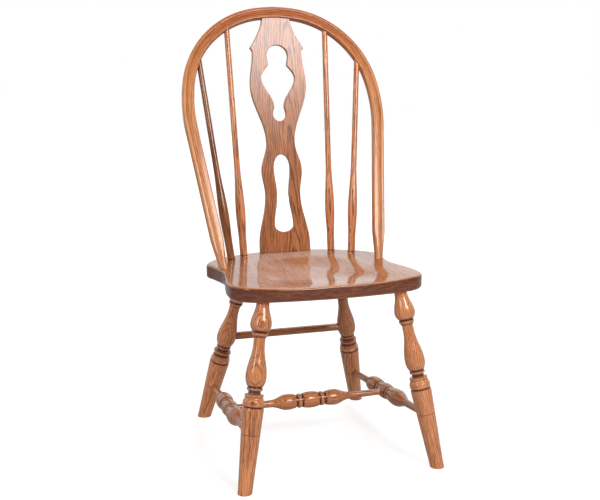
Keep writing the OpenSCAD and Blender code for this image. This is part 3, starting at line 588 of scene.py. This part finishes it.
class CHAIR_OT_seat(bpy.types.Operator):
    """Makes the saddled seat, which stands for its five boards"""
    bl_idname = "chair.seat"
    bl_label = "Saddled seat"

    def execute(self, context):
        s = context.scene.chair.seat
        points, faces, wear_and_highlight = seat_shape(s)
        mesh = bpy.data.meshes.new("seat_saddled")
        mesh.from_pydata([tuple(p) for p in points], [], faces)
        mesh.validate()
        mesh.shade_smooth()
        mesh.attributes.new("wear_and_highlight", "FLOAT", "POINT").data.foreach_set("value", wear_and_highlight)
        mesh.materials.append(seat_finish(s, context.scene.chair.oak))
        declare(place_object("seat_saddled", mesh),
                ["seat_board_%d" % i for i in range(1, s.boards + 1)])
        return {"FINISHED"}


# Bow

def bow_path(b):
    """The bow's middle line from the left foot over the crown to the right one, in its plane."""

    def direction(turn):
        return Vector((sin(turn), cos(turn)))

    haunch_turn, sweep, shoulder_turn = pi / 2 + b.leg_angle, radians(10), radians(79)
    foot = Vector((b.circle * sin(b.foot_angle), 0.0))
    leg_end = foot + b.width / 2 * direction(haunch_turn) + b.leg * direction(b.leg_angle)
    haunch_c = leg_end - b.haunch * direction(haunch_turn)
    shoulder = ((haunch_c[0] + b.haunch * sin(shoulder_turn) - b.crown * sin(sweep))
                / (sin(shoulder_turn) - sin(sweep)))
    shoulder_c = haunch_c + (b.haunch - shoulder) * direction(shoulder_turn)
    crown_c = shoulder_c - (b.crown - shoulder) * direction(sweep)
    half = []
    arcs = ((crown_c, b.crown, 0.0, sweep, 16), (shoulder_c, shoulder, sweep, shoulder_turn, 110),
            (haunch_c, b.haunch, shoulder_turn, haunch_turn, 48))
    for centre, r, start, stop, steps in arcs:
        for i in range(steps):
            half.append(centre + (r - b.width / 2) * direction(start + (stop - start) * i / steps))
    straight, steps = b.leg + b.tenon, 100
    for i in range(steps + 1):
        half.append(foot + direction(b.leg_angle) * (b.leg - straight * i / steps))
    return [Vector((-p[0], p[1])) for p in reversed(half[1:])] + half


def bow_section(b):
    """The moulded section as (outwards, forwards): bead, groove and a broad crowned band."""
    hw, hd = b.width / 2, b.depth / 2
    back, edge, swell = 0.0045, 0.003, 0.0005
    crest, groove = hw - b.bead / 2, hw - b.bead
    band = groove - 0.003

    def arc(cx, cy, r, start):
        """A quarter circle from the angle start on, in degrees."""
        steps = 6
        turns = [radians(start + 90 * k / steps) for k in range(steps + 1)]
        return [(cx + r * cos(turn), cy + r * sin(turn)) for turn in turns]

    def quarter(u0, v0, u1, v1, n):
        """A quarter ellipse that leaves (u0, v0) level and comes down to (u1, v1)."""
        turns = [pi / 2 * i / n for i in range(n + 1)]
        return [(u0 + (u1 - u0) * sin(turn), v1 + (v0 - v1) * cos(turn)) for turn in turns]

    points = arc(hw - back, -hd + back, back, -90)
    points += list(reversed(quarter(crest, hd, hw, hd - b.bead / 2, 10)))
    points += quarter(crest - 0.0005, hd, groove + 0.0008, hd - b.groove / 2, 6)
    points += [(groove - 0.0002, hd - b.groove * 0.9), (groove - 0.0006, hd - b.groove),
               (groove - 0.0014, hd - b.groove), (groove - 0.0020, hd - b.groove * 0.8),
               (band, hd - swell)]
    points += [(band + (-hw + edge - band) * t, hd - swell + swell * sin(pi * t))
               for t in (0.15, 0.3, 0.45, 0.6, 0.75, 0.9)]
    points += arc(-hw + edge, hd - swell - edge, edge, 90)
    points += arc(-hw + back, -hd + back, back, 180)
    points += [((hw - back) * k / 4, -hd) for k in (-3, -2, -1, 0, 1, 2, 3)]
    return points


def line_object(name, points, closed):
    """A line of straight stretches as a curve object, which isn't part of the chair."""
    curve = bpy.data.curves.new(name, "CURVE")
    curve.dimensions = "3D"
    spline = curve.splines.new("POLY")
    spline.points.add(len(points) - 1)
    for point, p in zip(spline.points, points):
        point.co = (p[0], p[1], p[2], 1.0)
    spline.use_cyclic_u = closed
    return place_object(name, curve)


def keep(tree, geometry, values):
    """Stores values by name on the points of a geometry."""
    for name, kind, value in values:
        geometry = put(tree, "GeometryNodeStoreNamedAttribute", {
            "Geometry": geometry, "Name": name, "Value": value}, data_type=kind,
            domain="POINT").outputs[0]
    return geometry


def named(tree, name, kind):
    """A value that is stored by name on the points, for a geometry tree."""
    return put(tree, "GeometryNodeInputNamedAttribute", {"Name": name}, data_type=kind).outputs[0]


def moulding_tree():
    """Sweeps a moulded section along a line and rounds its two ends off to a circle."""
    tree = bpy.data.node_groups.new("moulded_bow", "GeometryNodeTree")
    add_sockets(tree, "INPUT", ("Line", "Geometry"), ("Section", "Object"),
                ("Foot radius", "Float"), ("Straight foot", "Float"), ("Taper", "Float"),
                ("Full radius", "Float"), ("Forwards", "Vector"), ("Finish", "Material"))
    add_sockets(tree, "OUTPUT", ("Bow", "Geometry"))
    given = put(tree, "NodeGroupInput").outputs

    # The sweep. Each of its points keeps where its line and its section were.
    line = put(tree, "GeometryNodeSetCurveNormal", {0: given["Line"]}, mode="FREE")
    tree.links.new(given["Forwards"], line.inputs["Normal"])
    at = put(tree, "GeometryNodeInputPosition").outputs[0]
    length = put(tree, "GeometryNodeSplineParameter").outputs["Length"]
    whole = put(tree, "GeometryNodeSplineLength").outputs["Length"]
    from_end = calc(tree, "MINIMUM", length, calc(tree, "SUBTRACT", whole, length))
    kept = keep(tree, line.outputs[0], (("middle", "FLOAT_VECTOR", at),
                                        ("from_end", "FLOAT", from_end), ("run", "FLOAT", length)))
    section = put(tree, "GeometryNodeObjectInfo", {"Object": given["Section"]},
                  transform_space="ORIGINAL")
    shape = keep(tree, section.outputs["Geometry"], (("section", "FLOAT_VECTOR", at),))
    bow = put(tree, "GeometryNodeCurveToMesh", {"Curve": kept, "Profile Curve": shape,
                                                "Fill Caps": True}).outputs[0]

    # No point may stand further from the line than the taper lets it.
    middle = named(tree, "middle", "FLOAT_VECTOR")
    arm = vector_calc(tree, "SUBTRACT", at, middle)
    above = calc(tree, "SUBTRACT", named(tree, "from_end", "FLOAT"), given["Straight foot"])
    growth = calc(tree, "SUBTRACT", given["Full radius"], given["Foot radius"])
    rise = calc(tree, "MULTIPLY", calc(tree, "MAXIMUM", above, 0.0), growth)
    limit = calc(tree, "ADD", given["Foot radius"], calc(tree, "DIVIDE", rise, given["Taper"]))
    reach = vector_calc(tree, "LENGTH", arm)
    share = calc(tree, "MINIMUM", calc(tree, "DIVIDE", limit, reach), 1.0)
    trimmed = put(tree, "ShaderNodeVectorMath", {0: arm, "Scale": share},
                  operation="SCALE").outputs[0]
    bow = put(tree, "GeometryNodeSetPosition", {
        "Geometry": bow, "Position": vector_calc(tree, "ADD", middle, trimmed)}).outputs[0]

    # The grain follows the bend.
    uv = parts(tree, named(tree, "section", "FLOAT_VECTOR"))
    grain = join(tree, calc(tree, "MULTIPLY", uv[0], share), calc(tree, "MULTIPLY", uv[1], share),
                 named(tree, "run", "FLOAT"))
    bow = keep(tree, bow, (("grain", "FLOAT_VECTOR", grain),))
    bow = put(tree, "GeometryNodeSetShadeSmooth", {"Geometry": bow}).outputs[0]
    bow = put(tree, "GeometryNodeRealizeInstances", {"Geometry": bow}).outputs[0]
    bow = put(tree, "GeometryNodeSetMaterial", {"Geometry": bow,
                                                "Material": given["Finish"]}).outputs[0]
    put(tree, "NodeGroupOutput", {0: bow})
    return tree


def made_by_nodes(line, tree, inputs, name):
    """The plain mesh that a node tree makes of an object."""
    modifier = line.modifiers.new("making", "NODES")
    modifier.node_group = tree
    for item in tree.interface.items_tree:
        if item.item_type == "SOCKET" and item.in_out == "INPUT" and item.name in inputs:
            modifier[item.identifier] = inputs[item.name]
    bpy.context.view_layer.update()
    shaped = line.evaluated_get(bpy.context.evaluated_depsgraph_get())
    mesh = bpy.data.meshes.new_from_object(shaped)
    line.modifiers.remove(modifier)
    mesh.name = name
    return place_object(name, mesh)


def outwards(mesh):
    """Turns a closed mesh's faces outwards."""
    work = bmesh.new()
    work.from_mesh(mesh)
    bmesh.ops.recalc_face_normals(work, faces=work.faces)
    work.to_mesh(mesh)
    work.free()


def bow_finish(b, oak):
    """The oak of the bow: painted shade with staining in the groove, a painted highlight on the
    bead, and painted light and shade that make it paler towards the feet and darker towards the
    crown.
    """

    def mouldings(tree, colour):
        axes = parts(tree, stored(tree, "section"))
        u = calc(tree, "MULTIPLY", axes[1], -1.0)
        front = span(tree, axes[0], 0.004, 0.007)
        # Painted shade with staining in the groove, and a painted highlight along the bead's crest
        for middle, wide, narrow, strength, paint in (
                (b.width / 2 - b.bead - 0.001, 0.0022, 0.0006, 0.45, oak.dark),
                (b.width / 2 - b.bead / 2, 0.0038, 0.0005, 0.25, oak.worn_and_highlight)):
            off = calc(tree, "ABSOLUTE", calc(tree, "SUBTRACT", u, middle))
            share = calc(tree, "MULTIPLY", span(tree, off, wide, narrow), front)
            share = calc(tree, "MULTIPLY", share, strength)
            colour = blend_colour(tree, share, colour, rgba(paint))
        # Painted light and shade: paler and greyer towards the feet, darker and deeper in colour
        # towards the crown
        from_end = span(tree, stored(tree, "from_end", "Fac"), 0.42, 0.75)
        shade = blend_colour(tree, from_end, rgba((1.24, 1.34, 1.38)), rgba((0.88, 0.67, 0.47)))
        return blend_colour(tree, 1.0, colour, shade, "MULTIPLY")

    return oak_finish("oak_bow", oak, in_frame(0, 0, 0), in_frame(0, 0, 1), (0.021, 0.033, 0.4),
                      tone=1.15, figure=0.75, pores=0.7, grain="grain", extra=mouldings, gloss=0.19,
                      coat=0.6)


class CHAIR_OT_bow(bpy.types.Operator):
    """Bends the moulded bow along its path"""
    bl_idname = "chair.bow"
    bl_label = "Moulded bow"

    def execute(self, context):
        settings = context.scene.chair
        b, s = settings.bow, settings.seat
        foot_y = b.circle * cos(b.foot_angle)
        up = Vector((0, sin(b.lean), cos(b.lean)))
        forwards = Vector((0, -cos(b.lean), sin(b.lean)))
        path = [in_frame(p[0], foot_y + p[1] * up[1], s.height + p[1] * up[2]) for p in bow_path(b)]
        line = line_object("bow_line", path, False)
        section = line_object("bow_section", [(v, -u, 0.0) for u, v in bow_section(b)], True)
        piece = made_by_nodes(line, moulding_tree(), {
            "Section": section, "Foot radius": b.foot, "Straight foot": b.tenon + b.foot,
            "Taper": b.taper, "Full radius": sqrt((b.width / 2) ** 2 + (b.depth / 2) ** 2),
            "Forwards": forwards, "Finish": bow_finish(b, settings.oak)}, "bow_moulded")
        for helper in (line, section):
            bpy.data.objects.remove(helper)
        if not piece.data.polygons:
            raise RuntimeError("the bow came out empty")
        outwards(piece.data)
        declare(piece, ["bow"])
        return {"FINISHED"}


# Splat

def eased_splat(face):
    """A copy of the splat's solid whose arrises are rounded. face is square to its two faces."""
    work = bmesh.new()
    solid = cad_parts["splat"].data
    corners = [work.verts.new(v.co) for v in solid.vertices]
    for polygon in solid.polygons:
        work.faces.new([corners[i] for i in polygon.vertices])
    bmesh.ops.remove_doubles(work, verts=work.verts, dist=1e-6)
    bmesh.ops.dissolve_limit(work, angle_limit=radians(0.5), verts=work.verts, edges=work.edges)
    sharp = [e for e in work.edges if len(e.link_faces) == 2 and e.calc_face_angle() > radians(50)]
    bmesh.ops.bevel(work, geom=sharp, offset=0.0012, offset_type="OFFSET", segments=3, profile=0.5,
                    affect="EDGES", clamp_overlap=True)
    bmesh.ops.triangulate(work, faces=[f for f in work.faces if len(f.verts) > 4])
    mesh = bpy.data.meshes.new("splat_eased")
    work.to_mesh(mesh)
    work.free()
    mesh.shade_smooth()
    mesh.set_sharp_from_angle(angle=radians(34))
    for polygon in mesh.polygons:
        polygon.use_smooth = abs(polygon.normal.dot(face)) < 0.999
    return mesh


class CHAIR_OT_splat(bpy.types.Operator):
    """Softens the splat's arrises and gives it its figure"""
    bl_idname = "chair.splat"
    bl_label = "Fiddle splat"

    def execute(self, context):
        oak = context.scene.chair.oak
        face = (SPLAT_HEAD - SPLAT_FOOT).normalized().cross(Vector((1, 0, 0)))
        piece = place_object("splat_eased", eased_splat(face))

        def arrises(tree, colour):
            facing = vector_calc(tree, "DOT_PRODUCT", true_normal(tree), face)
            facing = calc(tree, "ABSOLUTE", facing)
            side = span(tree, facing, 0.5, 0.15)
            colour = blend_colour(tree, calc(tree, "MULTIPLY", side, 0.35), colour, rgba(oak.dark))
            edge = calc(tree, "MULTIPLY", span(tree, facing, 0.2, 0.5),
                        span(tree, facing, 0.98, 0.85))
            return blend_colour(tree, calc(tree, "MULTIPLY", edge, 0.4), colour, rgba(oak.worn_and_highlight))

        # The dark bands at the foot in the seat and just under the bow are painted shade with
        # staining
        piece.data.materials.append(oak_finish(
            "oak_splat", oak, SPLAT_FOOT, SPLAT_HEAD, (-0.027, 0.012, 0.3), tone=1.14, figure=1.3,
            pores=1.0, slope=0.05, bands=((0.0, 0.004, 0.8), (0.6189, 0.004, 0.6)), extra=arrises,
            gloss=0.23, sway=0.035))
        declare(piece, ["splat"])
        return {"FINISHED"}


# Turned pieces

def leg_lines(ring, collar, flanges, groove, mark):
    """A leg's dark lines of painted shade and staining and its pale lines of painted highlight, by
    how far down its ring, collar, groove and mark are.
    """
    dark = [(ring, 0.0050, 1.4), (ring + 0.0104, 0.0030, 0.9), (collar, 0.0045, 1.4),
            (groove, 0.0034, 1.2), (mark, 0.0014, 0.9)]
    pale = [(ring + 0.0050, 0.0026, 0.6), (collar + 0.0046, 0.0024, 0.6),
            (groove - 0.0040, 0.0016, 0.4)]
    for k in range(flanges):
        cove = collar + 0.0076 + 0.014 * k
        dark.append((cove + 0.0042, 0.0070, 1.2))
        pale.append((cove + 0.0113, 0.0022, 0.6))
    return dark, pale


LEG_LINES = {
    "front": leg_lines(ring=0.069, collar=0.1915, flanges=1, groove=0.236,
                       mark=FRONT_MARK - 0.0035),
    "rear": leg_lines(ring=0.084, collar=0.215, flanges=2, groove=0.263,
                      mark=REAR_MARK - 0.0035),
}


def bobbin_lines(middle):
    """The dark lines of painted shade and staining and the pale lines of painted highlight of a
    stretcher, on both sides of its barrel.
    """
    dark, pale = [], []
    for side in (-1, 1):
        dark += [(middle + side * 0.0225, 0.0034, 1.4), (middle + side * 0.0368, 0.0044, 1.4)]
        pale += [(middle + side * 0.0292, 0.0026, 0.5)]
    return dark, pale


# How pale each turned piece is drawn, matched to how light each piece looks, so besides the oak's
# own tone it holds painted light and shade. The left outer spindle is drawn much darker than the
# others.
TONES = {
    "leg_front_left": 1.45, "leg_front_right": 1.45, "leg_rear_left": 1.75, "leg_rear_right": 1.25,
    "spindle_left_outer": 0.72, "spindle_left_inner": 1.55, "spindle_right_inner": 1.55,
    "spindle_right_outer": 1.55, "side_stretcher_left": 1.12, "side_stretcher_right": 0.84,
    "centre_stretcher": 1.25, "rear_stretcher": 1.05,
}


def dress_turning(node, oak, start, end, pith, lines=((), ()), **finish):
    """Gives a turned piece its oak, with its dark lines of painted shade and staining and its pale
    lines of painted highlight.
    """
    dress(node, oak_finish("oak_" + node, oak, start, end, pith, tone=TONES[node], bands=lines[0],
                           crests=lines[1], **finish))


class CHAIR_OT_turnings(bpy.types.Operator):
    """Gives the legs, spindles and stretchers their oak"""
    bl_idname = "chair.turnings"
    bl_label = "Turned pieces"

    def execute(self, context):
        oak = context.scene.chair.oak
        barrels = []
        for side, word in ((-1, "left"), (1, "right")):
            twist = 0.8 * side
            for place, higher in (("front", 0.0), ("rear", 0.7)):
                top, foot = (mirrored(end, side) for end in LEGS[place])
                dress_turning("leg_%s_%s" % (place, word), oak, top, foot,
                              (0.030 + 0.01 * side, 0.040, 0.2 * side + higher), LEG_LINES[place],
                              turn=twist, figure=0.95, pores=0.65, gloss=0.13, haze=0.03)
            for place in ("outer", "inner"):
                node = "spindle_%s_%s" % (word, place)
                foot, tip = (mirrored(end, side) for end in SPINDLES[place])
                # Dark bands at the foot in the seat and just under the bow: painted shade with
                # staining
                dark = ((0.001, 0.006, 1.0), ((tip - foot).length - 0.0155, 0.004, 0.8))
                dress_turning(node, oak, foot, tip, (0.03, 0.02 * side, 1.1 + 0.3 * side),
                              (dark, ()), turn=twist, figure=0.95, pores=1.0, gloss=0.16,
                              haze=-0.01 if node == "spindle_left_outer" else 0.035)
            front, rear = on_leg("front", side, FRONT_MARK), on_leg("rear", side, REAR_MARK)
            barrels.append(front.lerp(rear, BARREL))
            dress_turning("side_stretcher_" + word, oak, front, rear, (0.025, 0.03, 2.0 + side),
                          bobbin_lines((rear - front).length * BARREL), turn=twist, figure=0.8,
                          pores=0.8, gloss=0.13, haze=0.015)
        left, right = barrels
        dress_turning("centre_stretcher", oak, left, right, (0.03, 0.025, 3.3),
                      bobbin_lines((right - left).length / 2), figure=0.75, pores=0.8, gloss=0.13,
                      haze=0.02)
        left, right = (on_leg("rear", side, REAR_VASE) for side in (-1, 1))
        dress_turning("rear_stretcher", oak, left, right, (0.02, 0.03, 4.1), figure=0.8)
        return {"FINISHED"}


# Stage

def area_lamp(name, place, aim, size, power):
    """A soft rectangular lamp that is aimed at a point."""
    lamp = bpy.data.lights.new(name, "AREA")
    lamp.shape = "RECTANGLE"
    lamp.size, lamp.size_y = size
    lamp.energy = power
    light = place_object(name, lamp)
    light.location = place
    light.rotation_euler = (Vector(aim) - Vector(place)).to_track_quat("-Z", "Y").to_euler()


def set_camera(scene, studio):
    """Sets the camera where the settings say, turned around a point inside the chair."""
    target = in_frame(0, 0.065, studio.target_height)
    a, e = studio.azimuth, studio.elevation
    back = Vector((sin(a) * cos(e), -cos(a) * cos(e), sin(e)))
    side = (-back).cross(Vector((0, 0, 1))).normalized()
    up = side.cross(-back)
    right = side * cos(studio.roll) + up * sin(studio.roll)
    top = up * cos(studio.roll) - side * sin(studio.roll)
    lens = bpy.data.cameras.new("camera")
    lens.sensor_fit, lens.sensor_width, lens.lens = "HORIZONTAL", 36.0, studio.lens
    camera = place_object("camera", lens)
    camera.matrix_world = Matrix.Translation(target + back * studio.distance) @ Matrix(
        (right, top, back)).transposed().to_4x4()
    scene.camera = camera


class CHAIR_OT_stage(bpy.types.Operator):
    """Sets the floor, the light and the camera"""
    bl_idname = "chair.stage"
    bl_label = "Studio"

    def execute(self, context):
        scene = context.scene
        studio = scene.chair.studio
        set_camera(scene, studio)
        scene.view_settings.view_transform = "Standard"

        reach = 15
        floor_mesh = bpy.data.meshes.new("floor")
        floor_mesh.from_pydata([(-reach, -reach, 0), (reach, -reach, 0), (reach, reach, 0),
                                (-reach, reach, 0)], [], [(0, 1, 2, 3)])
        floor_mesh.materials.append(white_paper(studio.floor))
        floor = place_object("floor", floor_mesh)
        scene.world = studio_world()

        area_lamp("front_softbox", (0.85, -2.5, 2.13), (0.0, 0.2, 0.85), (1.3, 1.0), 54)
        area_lamp("left_softbox", (-2.3, -1.6, 1.7), (0.0, 0.0, 0.5), (0.7, 1.2), 18)
        area_lamp("top_softbox", (0.6, 0.8, 2.9), (0.0, 0.0, 0.5), (1.6, 1.2), 22)
        return {"FINISHED"}


def white_paper(colour):
    """Matt paper that is white to the camera, save for the chair's shadow."""
    paper = bpy.data.materials.new("floor_paper")
    paper.use_nodes = True
    tree = paper.node_tree
    tree.nodes.remove(tree.nodes["Principled BSDF"])
    path = put(tree, "ShaderNodeLightPath").outputs
    seen = calc(tree, "MAXIMUM", path["Is Camera Ray"], path["Is Transmission Ray"])
    # Under the chair the paper glows less, so that the shadow shows
    away = vector_calc(tree, "LENGTH", object_place(tree))
    share = calc(tree, "MULTIPLY", seen, span(tree, away, 0.7, 2.6, 0.74, 1.0))
    share = calc(tree, "ADD", share, calc(tree, "MULTIPLY", path["Is Glossy Ray"], 0.1))
    matt = put(tree, "ShaderNodeBsdfDiffuse", {"Color": rgba(colour)}).outputs[0]
    glow = put(tree, "ShaderNodeEmission", {"Color": (1, 1, 1, 1), "Strength": share}).outputs[0]
    both = put(tree, "ShaderNodeAddShader", {0: matt, 1: glow}).outputs[0]
    tree.links.new(both, tree.nodes["Material Output"].inputs["Surface"])
    return paper


def studio_world():
    """White to the camera. The gloss sees it white behind and straight above, and dark in front."""
    world = bpy.data.worlds.new("studio")
    world.use_nodes = True
    tree = world.node_tree
    path = put(tree, "ShaderNodeLightPath").outputs
    seen = calc(tree, "MAXIMUM", path["Is Camera Ray"], path["Is Transmission Ray"])
    way = parts(tree, put(tree, "ShaderNodeTexCoord").outputs["Generated"])
    dim = calc(tree, "MULTIPLY", span(tree, way[1], 0.35, -0.15), span(tree, way[2], 1.0, 0.965))
    to_gloss = span(tree, dim, 0.0, 1.0, 1.0, 0.15, False)
    strength = span(tree, path["Is Glossy Ray"], 0.0, 1.0, 0.34, to_gloss, False)
    strength = span(tree, seen, 0.0, 1.0, strength, 1.0, False)
    white = tree.nodes["Background"]
    white.inputs["Color"].default_value = (1, 1, 1, 1)
    tree.links.new(strength, white.inputs["Strength"])
    return world


OPERATORS = (CHAIR_OT_seat, CHAIR_OT_bow, CHAIR_OT_splat, CHAIR_OT_turnings, CHAIR_OT_stage)


class CHAIR_PT_panel(bpy.types.Panel):
    """Lists what dresses the chair"""
    bl_label = "Fiddle back chair"
    bl_space_type = "VIEW_3D"
    bl_region_type = "UI"
    bl_category = "Chair"

    def draw(self, context):
        for operator in OPERATORS:
            self.layout.operator(operator.bl_idname)
        settings = context.scene.chair
        for group in (settings.seat, settings.bow, settings.oak, settings.studio):
            box = self.layout.box()
            for name in group.__annotations__:
                box.prop(group, name)


GROUPS = (ChairSeat, ChairBow, ChairOak, ChairStudio, ChairSettings)
CLASSES = GROUPS + OPERATORS + (CHAIR_PT_panel,)


def register():
    for cls in CLASSES:
        bpy.utils.register_class(cls)
    bpy.types.Scene.chair = PointerProperty(type=ChairSettings)


def unregister():
    del bpy.types.Scene.chair
    for cls in reversed(CLASSES):
        bpy.utils.unregister_class(cls)


def main():
    register()
    oak_grain_tree(bpy.context.scene.chair.oak)
    bpy.ops.chair.seat()
    bpy.ops.chair.bow()
    bpy.ops.chair.splat()
    bpy.ops.chair.turnings()
    bpy.ops.chair.stage()


if __name__ == "__main__":
    main()
